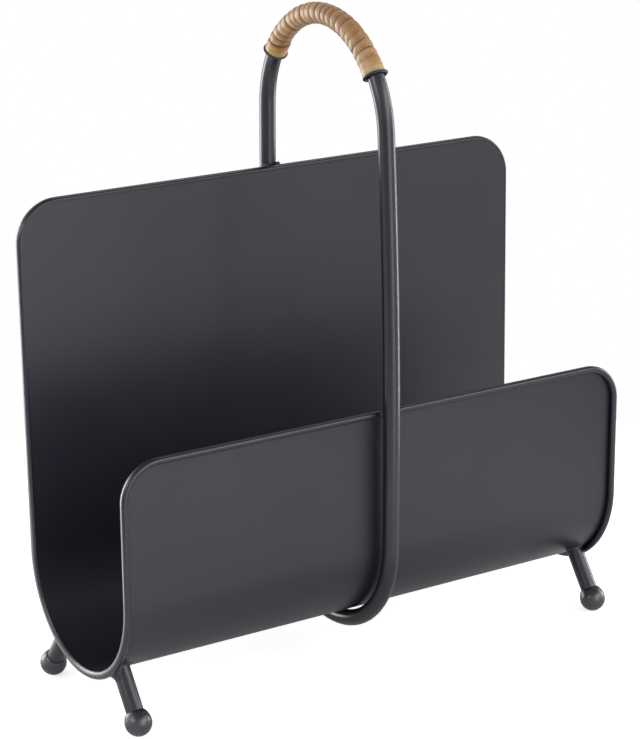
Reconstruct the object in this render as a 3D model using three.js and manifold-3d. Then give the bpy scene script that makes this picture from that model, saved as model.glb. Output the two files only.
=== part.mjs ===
// Magazine basket: a trough bent from one steel sheet, high at the back and low at the front, with a
// wire rim. A closed hoop of tube runs under the trough and up past both rims, and its top is the
// handle, wound with cane. Four rods with ball ends stand square to the trough's underside as feet.
// Everything is in millimetres with +Z up. The origin is on the floor, under the middle of the hoop.
// The low front faces -Y, and left is -X.

import * as THREE from 'three';
import { mergeVertices } from 'three/addons/utils/BufferGeometryUtils.js';
import Module from 'manifold-3d';

const wasm = await Module();
wasm.setup();

const radians = THREE.MathUtils.degToRad;

// Trough. The radius is the outer face of the round bottom, and heights are above the floor.
const TROUGH_WIDTH = 350;
const SHEET_THICKNESS = 1;
const TROUGH_RADIUS = 56.2;
const TROUGH_UNDERSIDE_HEIGHT = 25.5;
const BACK_HEIGHT = 293;
const FRONT_HEIGHT = 166.5;
const BACK_CORNER_RADIUS = 26;
const FRONT_CORNER_RADIUS = 24;

// Outward lean of each wall from upright: the back wall leans in a little.
const BACK_LEAN = radians(-0.45);
const FRONT_LEAN = radians(1.3);

// Rim wire, on the outer face and flush with the sheet's edge.
const RIM_DIAMETER = 4;

// Hoop. Each leg is bowed outward by LEG_BOW at its middle, and ends at LEG_TOP_HEIGHT.
const TUBE_DIAMETER = 10;
const LEG_TOP_HEIGHT = 330.3;
const LEG_BOW = 2.8;

// Feet. Each rod points at the trough's axis, so its splay is also its angle from upright.
const FOOT_ROD_DIAMETER = 10.4;
const FOOT_BALL_DIAMETER = 16;
const BALL_FLAT_DEPTH = 0.4;
const FRONT_FOOT_SPLAY = radians(34.5);
const BACK_FOOT_SPLAY = radians(37.1);
const ROD_TO_RIM_SPACE = 0.5;

// Stop rings, placed by their angle above the level of the arch's centre.
const BACK_RING_ANGLE = radians(34);
const FRONT_RING_ANGLE = radians(33);
const RING_RADIAL_SIZE = 2.3;
const RING_THICKNESS = 2.2;

// Cane strip. Where turns overlap on the real handle, the solid holds the part of each turn that shows.
const CANE_TURNS = 24;
const CANE_THICKNESS = 1.25;
const CANE_TURN_GAP = 0.6;
const CANE_END_WIDTH = 1.8;
const CANE_END_BEND_RADIUS = 1.8;
const CANE_START_ANGLE = radians(-90);

// Weld beads.
const RIM_WELD_RADIUS = 2.8;
const UNDER_WELD_RADIUS = 2.4;
const UNDER_WELD_LENGTH = 15;
const FOOT_WELD_LEG = 2;
const FOOT_WELD_LIP = 0.4;

// Pieces that are welded or bound together lie this far apart.
const JOINT_GAP = 0.3;
// Cutting shapes reach this far past what they cut.
const CUT_OVERRUN = 5;

// Facet counts.
const CORNER_STEPS = 7;
const TROUGH_BEND_STEPS = 28;
const LEG_STEPS = 6;
const HOOP_BEND_STEPS = 32;
const TUBE_SIDES = 16;
const RIM_SIDES = 8;
const ROD_SIDES = 20;
const BALL_RINGS = 12;
const WELD_SIDES = 12;
const RING_SEGMENTS = 24;
const RING_SIDES = 8;
const CLEARANCE_SIDES = 120;
const STEPS_PER_TURN = 24;
const CANE_TAPER_STEPS = 10;
const CANE_BEND_STEPS = 3;
const SETTLE_PASSES = 12;

// The cane's six-sided section, as shares of its half width and half thickness.
const CANE_CORNER_SHARE = 0.72;

const TUBE_RADIUS = TUBE_DIAMETER / 2;
const RIM_RADIUS = RIM_DIAMETER / 2;
const ROD_RADIUS = FOOT_ROD_DIAMETER / 2;
const BALL_RADIUS = FOOT_BALL_DIAMETER / 2;

const ACROSS = new THREE.Vector3(1, 0, 0);

const steelPaint = new THREE.MeshStandardMaterial({ color: 0x37373a, roughness: 0.45, metalness: 0 });
const ringPaint = new THREE.MeshStandardMaterial({ color: 0x202022, roughness: 0.5, metalness: 0 });
const cane = new THREE.MeshStandardMaterial({ color: 0xba945f, roughness: 0.6, metalness: 0 });

// Trough in its own section: y from its axis, z above the floor, lengths along the outer face.
const TROUGH_AXIS_HEIGHT = TROUGH_UNDERSIDE_HEIGHT + TROUGH_RADIUS;
const BACK_BEND_ANGLE = -BACK_LEAN;
const FRONT_BEND_ANGLE = FRONT_LEAN - Math.PI;
const BEND_LENGTH = TROUGH_RADIUS * (BACK_BEND_ANGLE - FRONT_BEND_ANGLE);
const BACK_WALL_LENGTH = wallLength(BACK_HEIGHT, BACK_LEAN);
const FRONT_WALL_LENGTH = wallLength(FRONT_HEIGHT, FRONT_LEAN);
const BEND_END = BACK_WALL_LENGTH + BEND_LENGTH;
const SHEET_LENGTH = BEND_END + FRONT_WALL_LENGTH;

function wallLength(height, lean) {
  const bendEndHeight = TROUGH_AXIS_HEIGHT - TROUGH_RADIUS * Math.sin(lean);
  return (height - bendEndHeight) / Math.cos(lean);
}

// A unit vector at an angle from one axis towards another that is square to it.
function blend(towards, from, angle) {
  return from.clone().multiplyScalar(Math.cos(angle)).addScaledVector(towards, Math.sin(angle));
}

// A unit vector in the YZ plane, turned by an angle from +Y towards +Z.
function inSection(angle) {
  return new THREE.Vector3(0, Math.cos(angle), Math.sin(angle));
}

// Outer face of the trough, a length along from the back's top edge: place, outward normal, heading.
function troughAt(along) {
  const onBend = THREE.MathUtils.clamp(along - BACK_WALL_LENGTH, 0, BEND_LENGTH);
  const angle = BACK_BEND_ANGLE - onBend / TROUGH_RADIUS;
  const normal = inSection(angle);
  const heading = inSection(angle - Math.PI / 2);
  const axis = new THREE.Vector3(0, hoop.troughOffset, TROUGH_AXIS_HEIGHT);
  const pastBend = along - BACK_WALL_LENGTH - onBend;
  const place = axis.addScaledVector(normal, TROUGH_RADIUS).addScaledVector(heading, pastBend);
  return { place, normal, heading };
}

// How far the outer face stands from the trough's axis at a height on a wall.
function wallReach(height, lean) {
  return TROUGH_RADIUS / Math.cos(lean) + (height - TROUGH_AXIS_HEIGHT) * Math.tan(lean);
}

// The legs rest on the rim wire, and the lower bend, a little wider than the trough, rests against its
// round bottom. The legs' spacing sets where the lower bend ends, and that sets the bow at each rim,
// so a few passes settle the hoop. The contact angle is where the lower bend touches the trough.
function settleHoop() {
  const outside = JOINT_GAP + RIM_DIAMETER + JOINT_GAP + TUBE_RADIUS;
  const backRimHeight = BACK_HEIGHT - RIM_RADIUS;
  const frontRimHeight = FRONT_HEIGHT - RIM_RADIUS;
  const backReach = wallReach(backRimHeight, BACK_LEAN) + outside;
  const frontReach = wallReach(frontRimHeight, FRONT_LEAN) + outside;
  let legBottom = TROUGH_AXIS_HEIGHT;
  let settled = null;
  for (let pass = 0; pass < SETTLE_PASSES; pass += 1) {
    const middle = (LEG_TOP_HEIGHT + legBottom) / 2;
    const halfLength = (LEG_TOP_HEIGHT - legBottom) / 2;
    const bowAt = (height) => LEG_BOW * (1 - ((height - middle) / halfLength) ** 2);
    const slopeAt = (height) => -2 * LEG_BOW * (height - middle) / halfLength ** 2;
    const backSpacing = backReach - bowAt(backRimHeight);
    const frontSpacing = frontReach - bowAt(frontRimHeight);
    const spacing = (backSpacing + frontSpacing) / 2;
    const troughOffset = (frontSpacing - backSpacing) / 2;
    const endAngle = Math.atan(2 * LEG_BOW / halfLength);
    const bendRadius = spacing / Math.cos(endAngle);
    const bendRise = spacing * Math.tan(endAngle);
    const slack = bendRadius - TUBE_RADIUS - JOINT_GAP - TROUGH_RADIUS;
    const bendLift = Math.sqrt(slack ** 2 - troughOffset ** 2);
    const contactAngle = Math.atan2(-bendLift, troughOffset);
    legBottom = TROUGH_AXIS_HEIGHT + bendLift - bendRise;
    settled = { legBottom, spacing, troughOffset, endAngle, bendRadius, bendRise, contactAngle };
    Object.assign(settled, { bowAt, slopeAt });
  }
  return settled;
}

const hoop = settleHoop();
const ARCH_CENTRE_HEIGHT = LEG_TOP_HEIGHT - hoop.bendRise;
const LOWER_BEND_CENTRE_HEIGHT = hoop.legBottom + hoop.bendRise;

// The ring of points that an outline makes round a station. Outline pairs run along normal and side.
function ringAt(station, outline) {
  const side = new THREE.Vector3().crossVectors(station.heading, station.normal);
  const place = (pair) => station.place.clone()
    .addScaledVector(station.normal, pair[0])
    .addScaledVector(side, pair[1]);
  return outline.map(place);
}

function circleOutline(radius, sides) {
  const outline = [];
  for (let i = 0; i < sides; i += 1) {
    const angle = 2 * Math.PI * i / sides;
    outline.push([radius * Math.cos(angle), radius * Math.sin(angle)]);
  }
  return outline;
}

// A closed skin through rings of points. A closed loft joins its last ring to its first.
function loft(rings, closed) {
  const sides = rings[0].length;
  const faces = [];
  const spans = closed ? rings.length : rings.length - 1;
  for (let i = 0; i < spans; i += 1) {
    const here = i * sides;
    const next = ((i + 1) % rings.length) * sides;
    for (let j = 0; j < sides; j += 1) {
      const k = (j + 1) % sides;
      faces.push(here + j, here + k, next + k);
      faces.push(here + j, next + k, next + j);
    }
  }
  const last = (rings.length - 1) * sides;
  for (let j = 1; j < sides - 1 && !closed; j += 1) {
    faces.push(0, j + 1, j);
    faces.push(last, last + j, last + j + 1);
  }
  const geometry = new THREE.BufferGeometry();
  const numbers = rings.flat().flatMap((point) => point.toArray());
  geometry.setAttribute('position', new THREE.Float32BufferAttribute(numbers, 3));
  geometry.setIndex(faces);
  return geometry;
}

function toSolid(geometry) {
  const bare = geometry.clone();
  bare.deleteAttribute('normal');
  bare.deleteAttribute('uv');
  const merged = mergeVertices(bare);
  const mesh = new wasm.Mesh({
    numProp: 3,
    vertProperties: new Float32Array(merged.attributes.position.array),
    triVerts: new Uint32Array(merged.index.array),
  });
  return new wasm.Manifold(mesh);
}

function fromSolid(solid) {
  const mesh = solid.getMesh();
  const geometry = new THREE.BufferGeometry();
  geometry.setAttribute('position', new THREE.BufferAttribute(mesh.vertProperties, 3));
  geometry.setIndex(new THREE.BufferAttribute(mesh.triVerts, 1));
  return geometry;
}

function cut(solid, cutters) {
  return cutters.reduce((left, cutter) => left.subtract(cutter), solid);
}

function piece(name, geometry, material) {
  geometry.computeVertexNormals();
  const mesh = new THREE.Mesh(geometry, material);
  mesh.name = name;
  return mesh;
}

// Half the sheet's width, a distance in from its top edge, round a corner of the given radius.
function roundedHalfWidth(inward, radius) {
  return TROUGH_WIDTH / 2 - radius + Math.sqrt(radius ** 2 - (radius - inward) ** 2);
}

// Rows across the sheet: close together round the four corners and the bend, none between.
function sheetRows() {
  const rows = [];
  for (let i = 0; i <= CORNER_STEPS; i += 1) {
    const inward = BACK_CORNER_RADIUS * (1 - Math.cos(Math.PI / 2 * i / CORNER_STEPS));
    rows.push({ along: inward, halfWidth: roundedHalfWidth(inward, BACK_CORNER_RADIUS) });
  }
  for (let i = 0; i <= TROUGH_BEND_STEPS; i += 1) {
    const along = BACK_WALL_LENGTH + BEND_LENGTH * i / TROUGH_BEND_STEPS;
    rows.push({ along, halfWidth: TROUGH_WIDTH / 2 });
  }
  for (let i = CORNER_STEPS; i >= 0; i -= 1) {
    const inward = FRONT_CORNER_RADIUS * (1 - Math.cos(Math.PI / 2 * i / CORNER_STEPS));
    rows.push({ along: SHEET_LENGTH - inward, halfWidth: roundedHalfWidth(inward, FRONT_CORNER_RADIUS) });
  }
  return rows;
}

function makeSheet() {
  const rings = sheetRows().map(({ along, halfWidth }) => ringAt(troughAt(along), [
    [0, halfWidth],
    [-SHEET_THICKNESS, halfWidth],
    [-SHEET_THICKNESS, -halfWidth],
    [0, -halfWidth],
  ]));
  return piece('trough_sheet', loft(rings, false), steelPaint);
}

// The rim wire's centre line on the right half: down the back's corner, round the bend, up the front's.
function rimHalfRoute() {
  const route = [];
  const backBend = BACK_CORNER_RADIUS - RIM_RADIUS;
  const frontBend = FRONT_CORNER_RADIUS - RIM_RADIUS;
  for (let i = 0; i <= CORNER_STEPS; i += 1) {
    const angle = Math.PI / 2 * i / CORNER_STEPS;
    route.push({
      along: BACK_CORNER_RADIUS - backBend * Math.cos(angle),
      across: TROUGH_WIDTH / 2 - BACK_CORNER_RADIUS + backBend * Math.sin(angle),
      turn: angle,
    });
  }
  for (let i = 0; i <= TROUGH_BEND_STEPS; i += 1) {
    const along = BACK_WALL_LENGTH + BEND_LENGTH * i / TROUGH_BEND_STEPS;
    route.push({ along, across: TROUGH_WIDTH / 2 - RIM_RADIUS, turn: Math.PI / 2 });
  }
  for (let i = 0; i <= CORNER_STEPS; i += 1) {
    const angle = Math.PI / 2 * i / CORNER_STEPS;
    route.push({
      along: SHEET_LENGTH - FRONT_CORNER_RADIUS + frontBend * Math.sin(angle),
      across: TROUGH_WIDTH / 2 - FRONT_CORNER_RADIUS + frontBend * Math.cos(angle),
      turn: Math.PI / 2 + angle,
    });
  }
  return route;
}

// The left half is the right half's mirror image, run backwards, which closes the loop.
function rimStations() {
  const right = rimHalfRoute();
  const left = right.map(({ along, across, turn }) => ({ along, across: -across, turn: -turn })).reverse();
  return [...right, ...left].map(({ along, across, turn }) => {
    const sheet = troughAt(along);
    const place = sheet.place.clone()
      .addScaledVector(sheet.normal, JOINT_GAP + RIM_RADIUS)
      .addScaledVector(ACROSS, across);
    const heading = blend(sheet.heading, ACROSS, turn);
    return { place, normal: sheet.normal, heading };
  });
}

function rimTube(radius) {
  const outline = circleOutline(radius, RIM_SIDES);
  return loft(rimStations().map((station) => ringAt(station, outline)), true);
}

// A station of the hoop at a place in its plane, facing outward along the given angle.
function hoopStation(y, z, outwardAngle) {
  return {
    place: new THREE.Vector3(0, y, z),
    normal: inSection(outwardAngle),
    heading: inSection(outwardAngle + Math.PI / 2),
  };
}

function archStation(angle) {
  const offset = inSection(angle).multiplyScalar(hoop.bendRadius);
  return hoopStation(offset.y, ARCH_CENTRE_HEIGHT + offset.z, angle);
}

function lowerBendStation(angle) {
  const offset = inSection(angle).multiplyScalar(hoop.bendRadius);
  return hoopStation(offset.y, LOWER_BEND_CENTRE_HEIGHT + offset.z, angle);
}

function backLegStation(height) {
  return hoopStation(hoop.spacing + hoop.bowAt(height), height, -Math.atan(hoop.slopeAt(height)));
}

function frontLegStation(height) {
  return hoopStation(-hoop.spacing - hoop.bowAt(height), height, Math.PI + Math.atan(hoop.slopeAt(height)));
}

// Round the hoop once: lower bend, back leg, arch, front leg.
function hoopStations() {
  const stations = [];
  const bendSweep = Math.PI - 2 * hoop.endAngle;
  const legLength = LEG_TOP_HEIGHT - hoop.legBottom;
  for (let i = 0; i < HOOP_BEND_STEPS; i += 1) {
    stations.push(lowerBendStation(hoop.endAngle - Math.PI + bendSweep * i / HOOP_BEND_STEPS));
  }
  for (let i = 0; i < LEG_STEPS; i += 1) {
    stations.push(backLegStation(hoop.legBottom + legLength * i / LEG_STEPS));
  }
  for (let i = 0; i < HOOP_BEND_STEPS; i += 1) {
    stations.push(archStation(hoop.endAngle + bendSweep * i / HOOP_BEND_STEPS));
  }
  for (let i = 0; i < LEG_STEPS; i += 1) {
    stations.push(frontLegStation(LEG_TOP_HEIGHT - legLength * i / LEG_STEPS));
  }
  return stations;
}

function hoopTube(radius) {
  const outline = circleOutline(radius, TUBE_SIDES);
  return loft(hoopStations().map((station) => ringAt(station, outline)), true);
}

// Stop ring: an oval section turned about the hoop's centre line.
function makeEndRing(name, angle) {
  const middleRadius = TUBE_RADIUS + JOINT_GAP + RING_RADIAL_SIZE / 2;
  const profile = [];
  for (let i = 0; i <= RING_SIDES; i += 1) {
    const turn = 2 * Math.PI * (i % RING_SIDES) / RING_SIDES;
    const radial = middleRadius + RING_RADIAL_SIZE / 2 * Math.cos(turn);
    profile.push(new THREE.Vector2(radial, RING_THICKNESS / 2 * Math.sin(turn)));
  }
  const mesh = piece(name, new THREE.LatheGeometry(profile, RING_SEGMENTS), ringPaint);
  const station = archStation(angle);
  mesh.quaternion.setFromUnitVectors(new THREE.Vector3(0, 1, 0), station.heading);
  mesh.position.copy(station.place);
  return mesh;
}

// The strip's centre line lies on a sleeve round the arch. A point on it has an angle along the arch
// and a wind angle round the tube; slant is the strip's own heading, from round the tube to along it.
const CANE_SLEEVE_RADIUS = TUBE_RADIUS + JOINT_GAP + CANE_THICKNESS / 2;
const CANE_END_REACH = RING_THICKNESS / 2 + JOINT_GAP + CANE_END_WIDTH + CANE_END_BEND_RADIUS;
const END_ARCH_RADIUS = hoop.bendRadius + CANE_SLEEVE_RADIUS * Math.cos(CANE_START_ANGLE);
const CANE_END_ANGLE = CANE_END_REACH / END_ARCH_RADIUS;
const WIND_FROM = BACK_RING_ANGLE + CANE_END_ANGLE;
const WIND_TO = Math.PI - FRONT_RING_ANGLE - CANE_END_ANGLE;
const ANGLE_PER_TURN = (WIND_TO - WIND_FROM) / CANE_TURNS;

function turnPitch(windAngle) {
  return ANGLE_PER_TURN * (hoop.bendRadius + CANE_SLEEVE_RADIUS * Math.cos(windAngle));
}

function caneRing(archAngle, windAngle, slant, halfWidth) {
  const arch = archStation(archAngle);
  const side = new THREE.Vector3().crossVectors(arch.heading, arch.normal);
  const normal = blend(side, arch.normal, windAngle);
  const around = blend(side, arch.normal, windAngle + Math.PI / 2);
  const heading = blend(arch.heading, around, slant);
  const place = arch.place.clone().addScaledVector(normal, CANE_SLEEVE_RADIUS);
  const halfThickness = CANE_THICKNESS / 2;
  const corner = halfWidth * CANE_CORNER_SHARE;
  return ringAt({ place, normal, heading }, [
    [0, -halfWidth],
    [halfThickness, -corner],
    [halfThickness, corner],
    [0, halfWidth],
    [-halfThickness, corner],
    [-halfThickness, -corner],
  ]);
}

// One end of the strip: a quarter bend from the winding's slant to straight along the tube, then a run
// of one width up to the stop ring. Direction is -1 at the back end and 1 at the front end.
function caneEnd(archAngle, windAngle, startSlant, direction) {
  const rings = [];
  const alongTube = Math.PI / 2;
  for (let i = 1; i <= CANE_BEND_STEPS; i += 1) {
    const swept = alongTube * i / CANE_BEND_STEPS;
    const slant = THREE.MathUtils.lerp(startSlant, alongTube, i / CANE_BEND_STEPS);
    const along = CANE_END_BEND_RADIUS * (1 - Math.cos(swept));
    const around = CANE_END_BEND_RADIUS * Math.sin(swept);
    const nextArch = archAngle + direction * along / END_ARCH_RADIUS;
    const nextWind = windAngle + direction * around / CANE_SLEEVE_RADIUS;
    rings.push(caneRing(nextArch, nextWind, slant, CANE_END_WIDTH / 2));
  }
  const lastArch = archAngle + direction * (CANE_END_BEND_RADIUS + CANE_END_WIDTH) / END_ARCH_RADIUS;
  const lastWind = windAngle + direction * CANE_END_BEND_RADIUS / CANE_SLEEVE_RADIUS;
  rings.push(caneRing(lastArch, lastWind, alongTube, CANE_END_WIDTH / 2));
  return rings;
}

// Half the strip's width: it fills its turn but for the gap, and is trimmed narrow towards both ends.
function caneHalfWidth(step, windAngle) {
  const full = (turnPitch(windAngle) - CANE_TURN_GAP) / 2;
  const stepsIn = Math.min(step, CANE_TURNS * STEPS_PER_TURN - step);
  const share = Math.min(1, stepsIn / CANE_TAPER_STEPS);
  return THREE.MathUtils.lerp(CANE_END_WIDTH / 2, full, share);
}

function caneRings() {
  const rings = [];
  const steps = CANE_TURNS * STEPS_PER_TURN;
  for (let step = 0; step <= steps; step += 1) {
    const windAngle = CANE_START_ANGLE + 2 * Math.PI * step / STEPS_PER_TURN;
    const archAngle = WIND_FROM + ANGLE_PER_TURN * step / STEPS_PER_TURN;
    const slant = Math.atan(turnPitch(windAngle) / (2 * Math.PI * CANE_SLEEVE_RADIUS));
    rings.push(caneRing(archAngle, windAngle, slant, caneHalfWidth(step, windAngle)));
  }
  const endSlant = Math.atan(turnPitch(CANE_START_ANGLE) / (2 * Math.PI * CANE_SLEEVE_RADIUS));
  const backEnd = caneEnd(WIND_FROM, CANE_START_ANGLE, endSlant, -1).reverse();
  const frontEnd = caneEnd(WIND_TO, CANE_START_ANGLE, endSlant, 1);
  return [...backEnd, ...rings, ...frontEnd];
}

// The least distance from a point of the strip to a long edge of it over half a turn further on.
function leastGapToItself(rings) {
  let least = Infinity;
  const closest = new THREE.Vector3();
  for (let i = 0; i < rings.length; i += 1) {
    const lastNear = Math.min(rings.length - 1, i + 2 * STEPS_PER_TURN);
    for (let k = i + STEPS_PER_TURN / 2; k < lastNear; k += 1) {
      for (let corner = 0; corner < rings[k].length; corner += 1) {
        const edge = new THREE.Line3(rings[k][corner], rings[k + 1][corner]);
        for (const point of rings[i]) {
          edge.closestPointToPoint(point, true, closest);
          least = Math.min(least, closest.distanceTo(point));
        }
      }
    }
  }
  return least;
}

function makeCane() {
  const rings = caneRings();
  console.log(`cane winding: least gap to itself ${leastGapToItself(rings).toFixed(2)} mm`);
  return piece('cane_winding', loft(rings, false), cane);
}

// Feet: the ball stands on a small flat, and the rod runs from it to the trough along one line.
function footSplay(towardsBack) {
  return towardsBack ? BACK_FOOT_SPLAY : FRONT_FOOT_SPLAY;
}

function footFrame(side, towardsBack) {
  const splay = footSplay(towardsBack);
  const x = side * (TROUGH_WIDTH / 2 - RIM_DIAMETER - ROD_TO_RIM_SPACE - ROD_RADIUS);
  const sign = towardsBack ? 1 : -1;
  const down = new THREE.Vector3(0, sign * Math.sin(splay), -Math.cos(splay));
  const axis = new THREE.Vector3(x, hoop.troughOffset, TROUGH_AXIS_HEIGHT);
  const ballHeight = BALL_RADIUS - BALL_FLAT_DEPTH;
  const ballDistance = (TROUGH_AXIS_HEIGHT - ballHeight) / Math.cos(splay);
  const ball = axis.clone().addScaledVector(down, ballDistance);
  return { axis, down, ball, ballDistance };
}

function ballShape(centre, radius) {
  const sphere = new THREE.SphereGeometry(radius, ROD_SIDES, BALL_RINGS);
  sphere.rotateX(Math.PI / 2);
  sphere.translate(centre.x, centre.y, centre.z);
  return toSolid(sphere);
}

// A round bar, or a cone frustum, along a line from one distance to another.
function barShape(origin, direction, from, to, radiusFrom, radiusTo, sides) {
  const bar = new THREE.CylinderGeometry(radiusTo, radiusFrom, to - from, sides);
  const turn = new THREE.Quaternion().setFromUnitVectors(new THREE.Vector3(0, 1, 0), direction);
  bar.applyQuaternion(turn);
  const middle = origin.clone().addScaledVector(direction, (from + to) / 2);
  bar.translate(middle.x, middle.y, middle.z);
  return toSolid(bar);
}

function belowFloor() {
  const size = TROUGH_WIDTH;
  const slab = new THREE.BoxGeometry(2 * size, 2 * size, size);
  slab.translate(0, 0, -size / 2);
  return toSolid(slab);
}

// What pieces under the trough are cut back from: the bend's outer face, with the joint gap.
function troughClearance() {
  const origin = new THREE.Vector3(-TROUGH_WIDTH, hoop.troughOffset, TROUGH_AXIS_HEIGHT);
  const radius = TROUGH_RADIUS + JOINT_GAP;
  return barShape(origin, ACROSS, 0, 2 * TROUGH_WIDTH, radius, radius, CLEARANCE_SIDES);
}

const floorCut = belowFloor();
const troughCut = troughClearance();
const rimCut = toSolid(rimTube(RIM_RADIUS + JOINT_GAP));
const hoopCut = toSolid(hoopTube(TUBE_RADIUS + JOINT_GAP));

// A foot's rod, its ball and the weld collar that slopes at 45 degrees from the rod to the trough.
function makeFoot(side, towardsBack) {
  const where = `${towardsBack ? 'back' : 'front'}_${side > 0 ? 'right' : 'left'}`;
  const { axis, down, ball, ballDistance } = footFrame(side, towardsBack);
  const rodStart = TROUGH_RADIUS - CUT_OVERRUN;
  const rod = barShape(axis, down, rodStart, ballDistance, ROD_RADIUS, ROD_RADIUS, ROD_SIDES);
  const ballCut = ballShape(ball, BALL_RADIUS + JOINT_GAP);
  const sleeveRadius = ROD_RADIUS + JOINT_GAP;
  const sleeveStart = rodStart - CUT_OVERRUN;
  const sleeve = barShape(axis, down, sleeveStart, ballDistance, sleeveRadius, sleeveRadius, ROD_SIDES);
  const weldEnd = TROUGH_RADIUS + JOINT_GAP + FOOT_WELD_LEG;
  const weldStart = TROUGH_RADIUS - FOOT_WELD_LEG;
  const lipRadius = sleeveRadius + FOOT_WELD_LIP;
  const skirtRadius = lipRadius + weldEnd - weldStart;
  const collar = barShape(axis, down, weldStart, weldEnd, skirtRadius, lipRadius, ROD_SIDES);
  return [
    piece(`foot_rod_${where}`, fromSolid(cut(rod, [troughCut, ballCut])), steelPaint),
    piece(`foot_ball_${where}`, fromSolid(cut(ballShape(ball, BALL_RADIUS), [floorCut])), steelPaint),
    piece(`foot_weld_${where}`, fromSolid(cut(collar, [sleeve, troughCut, rimCut])), steelPaint),
  ];
}

// A weld bead: an oval blob in the crease beside the hoop, cut back from what it joins.
function makeWeld(name, centre, heading, radius, halfLength) {
  const blob = new THREE.SphereGeometry(radius, WELD_SIDES, WELD_SIDES);
  blob.scale(1, halfLength / radius, 1);
  blob.applyQuaternion(new THREE.Quaternion().setFromUnitVectors(new THREE.Vector3(0, 1, 0), heading));
  blob.translate(centre.x, centre.y, centre.z);
  return piece(name, fromSolid(cut(toSolid(blob), [hoopCut, rimCut, troughCut])), steelPaint);
}

// Beads where a leg crosses the rim wire, on both sides of the leg.
function makeRimWelds(where, along) {
  const wire = troughAt(along);
  return [-1, 1].map((side) => {
    const centre = wire.place.clone()
      .addScaledVector(wire.normal, JOINT_GAP + RIM_DIAMETER)
      .addScaledVector(ACROSS, side * TUBE_RADIUS);
    const name = `weld_${where}_${side > 0 ? 'right' : 'left'}`;
    return makeWeld(name, centre, wire.heading, RIM_WELD_RADIUS, RIM_WELD_RADIUS);
  });
}

// Beads along both sides of the lower bend, where it touches the trough.
function makeUnderWelds() {
  const bend = lowerBendStation(hoop.contactAngle);
  return [-1, 1].map((side) => {
    const centre = bend.place.clone()
      .addScaledVector(bend.normal, UNDER_WELD_RADIUS / 2 - TUBE_RADIUS)
      .addScaledVector(ACROSS, side * TUBE_RADIUS);
    const name = `weld_under_${side > 0 ? 'right' : 'left'}`;
    return makeWeld(name, centre, bend.heading, UNDER_WELD_RADIUS, UNDER_WELD_LENGTH / 2);
  });
}

const basket = new THREE.Group();
basket.add(makeSheet());
basket.add(piece('rim_wire', rimTube(RIM_RADIUS), steelPaint));
basket.add(piece('hoop_tube', hoopTube(TUBE_RADIUS), steelPaint));
basket.add(makeEndRing('end_ring_back', BACK_RING_ANGLE));
basket.add(makeEndRing('end_ring_front', Math.PI - FRONT_RING_ANGLE));
basket.add(makeCane());
for (const towardsBack of [false, true]) {
  for (const side of [-1, 1]) {
    basket.add(...makeFoot(side, towardsBack));
  }
}
basket.add(...makeRimWelds('back', RIM_RADIUS));
basket.add(...makeRimWelds('front', SHEET_LENGTH - RIM_RADIUS));
basket.add(...makeUnderWelds());

export default basket;
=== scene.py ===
# Looks of the magazine basket: a bent steel trough with a wire rim, a hoop of tube bound with cane at
# the top, and four ball feet. Everything is in metres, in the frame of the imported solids.

import math

import bmesh
import bpy
import numpy as np
from mathutils import Matrix, Vector, noise


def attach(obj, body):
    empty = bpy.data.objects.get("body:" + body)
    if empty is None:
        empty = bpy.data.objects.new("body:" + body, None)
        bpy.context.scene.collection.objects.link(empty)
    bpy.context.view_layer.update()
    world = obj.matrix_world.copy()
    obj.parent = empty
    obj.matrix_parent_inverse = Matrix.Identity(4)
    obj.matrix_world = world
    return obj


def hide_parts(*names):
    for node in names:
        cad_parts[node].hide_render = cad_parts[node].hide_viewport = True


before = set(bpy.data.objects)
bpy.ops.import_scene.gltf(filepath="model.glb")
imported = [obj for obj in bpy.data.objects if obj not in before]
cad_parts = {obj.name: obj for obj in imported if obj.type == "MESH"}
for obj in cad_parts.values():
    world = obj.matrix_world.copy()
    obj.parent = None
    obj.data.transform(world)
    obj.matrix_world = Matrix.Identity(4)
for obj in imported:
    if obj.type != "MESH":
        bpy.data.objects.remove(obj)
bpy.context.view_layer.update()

MM = 0.001

# Trough, with the solids' driving sizes.
TROUGH_WIDTH = 350 * MM
SHEET_THICKNESS = 1 * MM
TROUGH_RADIUS = 56.2 * MM
TROUGH_UNDERSIDE_HEIGHT = 25.5 * MM
BACK_HEIGHT = 293 * MM
FRONT_HEIGHT = 166.5 * MM
BACK_CORNER_RADIUS = 26 * MM
FRONT_CORNER_RADIUS = 24 * MM
BACK_LEAN = math.radians(-0.45)
FRONT_LEAN = math.radians(1.3)

# Rim wire, hoop and feet, with the solids' driving sizes.
RIM_RADIUS = 2 * MM
TUBE_RADIUS = 5 * MM
LEG_TOP_HEIGHT = 330.3 * MM
LEG_BOW = 2.8 * MM
ROD_RADIUS = 5.2 * MM
BALL_RADIUS = 8 * MM
BALL_FLAT_DEPTH = 0.4 * MM
FRONT_FOOT_SPLAY = math.radians(34.5)
BACK_FOOT_SPLAY = math.radians(37.1)
ROD_TO_RIM_SPACE = 0.5 * MM
JOINT_GAP = 0.3 * MM

# Handle binding, with the solids' driving sizes. The cane's first and last turns close on themselves, and
# the turns between them are a helix.
BACK_RING_ANGLE = math.radians(34)
FRONT_RING_ANGLE = math.radians(33)
RING_OUTER_RADIUS = 7.6 * MM
CANE_TURNS = 24
HELIX_TURNS = CANE_TURNS - 2
CANE_OUTER_RADIUS = 6.55 * MM

# Camera, fitted to the photograph. Its focal length is in pixels of a picture 739 pixels high, and the
# sensor's width spans that height, the picture's longer side.
CAMERA_PLACE = (-762.17 * MM, -1189.18 * MM, 591.21 * MM)
CAMERA_YAW = math.radians(32.433)
CAMERA_PITCH = math.radians(16.339)
CAMERA_ROLL = math.radians(-1.079)
FOCAL_PIXELS = 2443.53
PICTURE_HEIGHT_PIXELS = 739
SENSOR_WIDTH_MM = 36
CAMERA_CLIP_START = 50 * MM
CAMERA_CLIP_END = 60

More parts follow.
